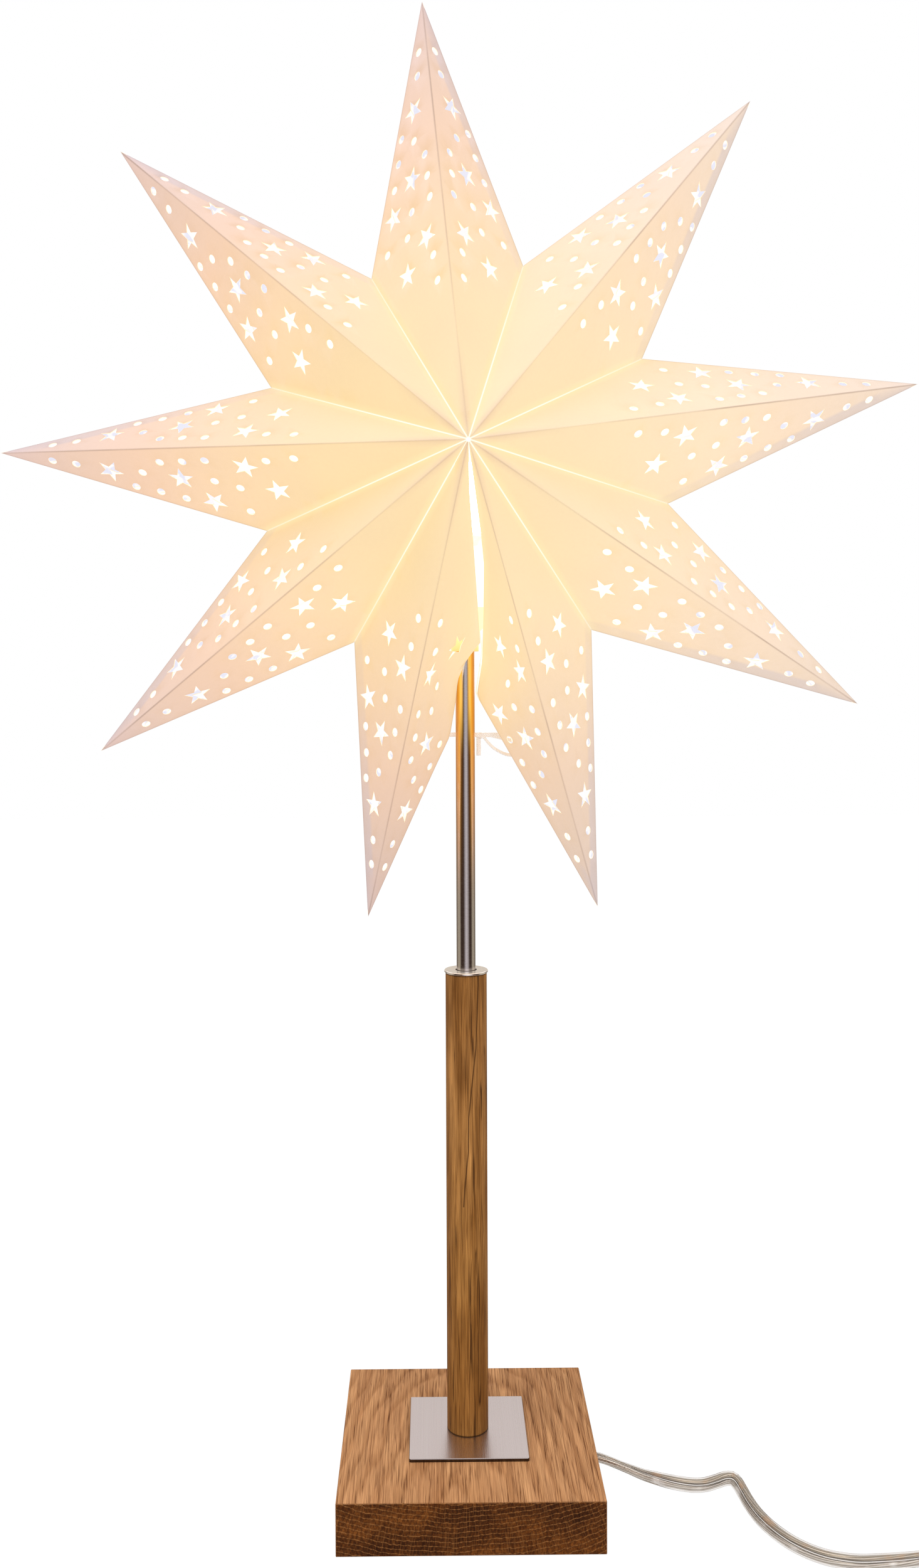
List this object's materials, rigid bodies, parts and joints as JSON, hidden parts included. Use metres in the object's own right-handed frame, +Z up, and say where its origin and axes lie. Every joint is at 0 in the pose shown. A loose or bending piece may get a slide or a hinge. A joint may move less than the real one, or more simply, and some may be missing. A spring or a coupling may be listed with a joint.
{
  "type": "paper star table lamp",
  "caption": "Folded perforated paper star shade, lit from inside, on a slim steel tube and round oak stem with a square oak base and a clear flat cord.",
  "frame": {"origin": "centre of the base's underside, on the tube's axis", "axes": "+Z up along the tube, -Y towards the viewer of the star's front, +X to the side where the cord leaves"},
  "size_m": [0.6743, 0.229, 0.8859],
  "materials": {
    "oak_block": "oiled oak, end grain on the front",
    "oak_stem": "oiled oak with open pores along the stem",
    "pad": "matt anti-slip sheet",
    "steel_plate": "brushed",
    "polished_steel": "polished",
    "steel_tube": "satin",
    "zinc": "zinc plated",
    "strap_plastic": "moulded",
    "holder_plastic": "moulded",
    "holder_ceramic": "unglazed",
    "wire_plastic": "insulated wire",
    "brass": "stamped",
    "bulb_glass": "opal, lit",
    "bulb_plastic": "moulded",
    "bulb_aluminium": "rolled",
    "bulb_insulator": "black glass",
    "paper": "uncoated paper that lets light through",
    "tape": "woven cotton",
    "cord": "clear sheath over two stranded cores",
    "switch_plastic": "moulded",
    "rocker_plastic": "moulded",
    "tie_plastic": "flexible band",
    "plug_plastic": "moulded",
    "nickel": "plated pins"
  },
  "bodies": {
    "stand": {"base_block": "oak_block", "base_pad": "pad", "base_plate": "steel_plate", "stem": "oak_stem", "stem_cap": "polished_steel", "pole_tube": "steel_tube", "base_washer": "zinc", "base_nut": "zinc", "cord_strap": "strap_plastic", "strap_screws": "zinc", "holder_cap": "holder_plastic", "holder_grub_screw": "zinc", "holder_skirt": "holder_plastic", "holder_core": "holder_ceramic", "holder_wires": "wire_plastic", "screw_shell": "brass", "centre_contact": "brass", "inner_cord": "cord", "mains_cord": "cord", "switch_base": "switch_plastic", "switch_cover": "switch_plastic", "switch_screws": "zinc", "lead_cord": "cord", "cord_coil": "cord", "coil_tie": "tie_plastic", "tail_cord": "cord", "plug_body": "plug_plastic", "plug_pins": "nickel"},
    "star": {"star_point_1": "paper", "star_point_2": "paper", "star_point_3": "paper", "star_point_4": "paper", "star_point_5": "paper", "star_point_6": "paper", "star_point_7": "paper", "star_point_8": "paper", "star_point_9": "paper", "tie_tape": "tape"},
    "bulb": {"bulb_globe": "bulb_glass", "bulb_collar": "bulb_plastic", "bulb_cap": "bulb_aluminium", "bulb_insulator": "bulb_insulator", "bulb_tip": "bulb_aluminium"},
    "rocker": {"switch_rocker": "rocker_plastic"}
  },
  "joints": [
    {"name": "star_turn", "type": "hinge", "parent": "stand", "child": "star", "pos_m": [0, 0, 0.611], "axis": [0, 0, 1], "continuous": true},
    {"name": "bulb_unscrew", "type": "slide", "parent": "stand", "child": "bulb", "axis": [0, 0, 1], "range_m": [0, 0.028]},
    {"name": "switch_rock", "type": "hinge", "parent": "stand", "child": "rocker", "pos_m": [0.294, -0.0885, 0.0115], "axis": [0, 1, 0], "range_deg": [0, 16]}
  ]
}
